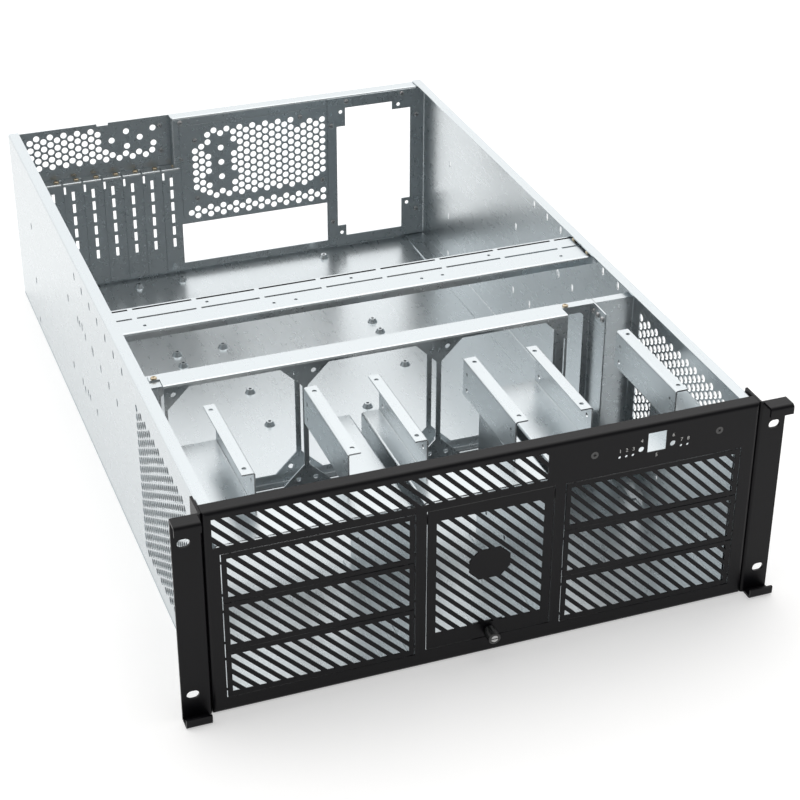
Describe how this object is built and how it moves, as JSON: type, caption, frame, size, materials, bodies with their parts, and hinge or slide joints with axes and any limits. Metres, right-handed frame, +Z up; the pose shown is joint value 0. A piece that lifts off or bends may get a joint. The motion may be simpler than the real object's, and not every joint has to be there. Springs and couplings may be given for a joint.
{
  "type": "rackmount server case",
  "caption": "Empty four-unit rackmount server case without its lid: vented black front with a door, drive cages, fan wall, cross brace and card slots.",
  "frame": {"origin": "under the middle of the overall box, at the level of the base", "axes": "+X to the right seen from the front, +Y from the front to the back, +Z up"},
  "size_m": [0.4826, 0.7332, 0.1765],
  "materials": {
    "zinc_steel": "zinc coated sheet, satin",
    "black_paint": "fine black powder coat",
    "fitting_steel": "turned and zinc coated"
  },
  "bodies": {
    "case": {"floor_panel": "zinc_steel", "left_wall": "zinc_steel", "right_wall": "zinc_steel", "rear_panel": "zinc_steel", "rear_bracket": "zinc_steel", "slot_cover_1": "zinc_steel", "slot_cover_2": "zinc_steel", "slot_cover_3": "zinc_steel", "slot_cover_4": "zinc_steel", "slot_cover_5": "zinc_steel", "slot_cover_6": "zinc_steel", "slot_cover_7": "zinc_steel", "rear_screen": "zinc_steel", "supply_plate": "zinc_steel", "cross_brace": "zinc_steel", "fan_wall": "zinc_steel", "fan_bracket_left": "zinc_steel", "fan_bracket_right": "zinc_steel", "wall_angle": "zinc_steel", "left_cage": "zinc_steel", "centre_cage": "zinc_steel", "right_cage": "zinc_steel", "front_panel": "black_paint", "left_ear": "black_paint", "right_ear": "black_paint", "hinge_pin_left": "fitting_steel", "hinge_pin_right": "fitting_steel", "door_catch": "fitting_steel"},
    "door": {"front_door": "black_paint"},
    "screw": {"thumbscrew": "fitting_steel"}
  },
  "joints": [
    {"name": "door_hinge", "type": "hinge", "parent": "case", "child": "door", "pos_m": [-0.0009, -0.34905, 0.1314], "axis": [-1, 0, 0], "range_deg": [0, 90]},
    {"name": "thumbscrew_turn", "type": "hinge", "parent": "door", "child": "screw", "pos_m": [-0.0009, -0.35305, 0.0214], "axis": [0, 1, 0], "continuous": true}
  ]
}
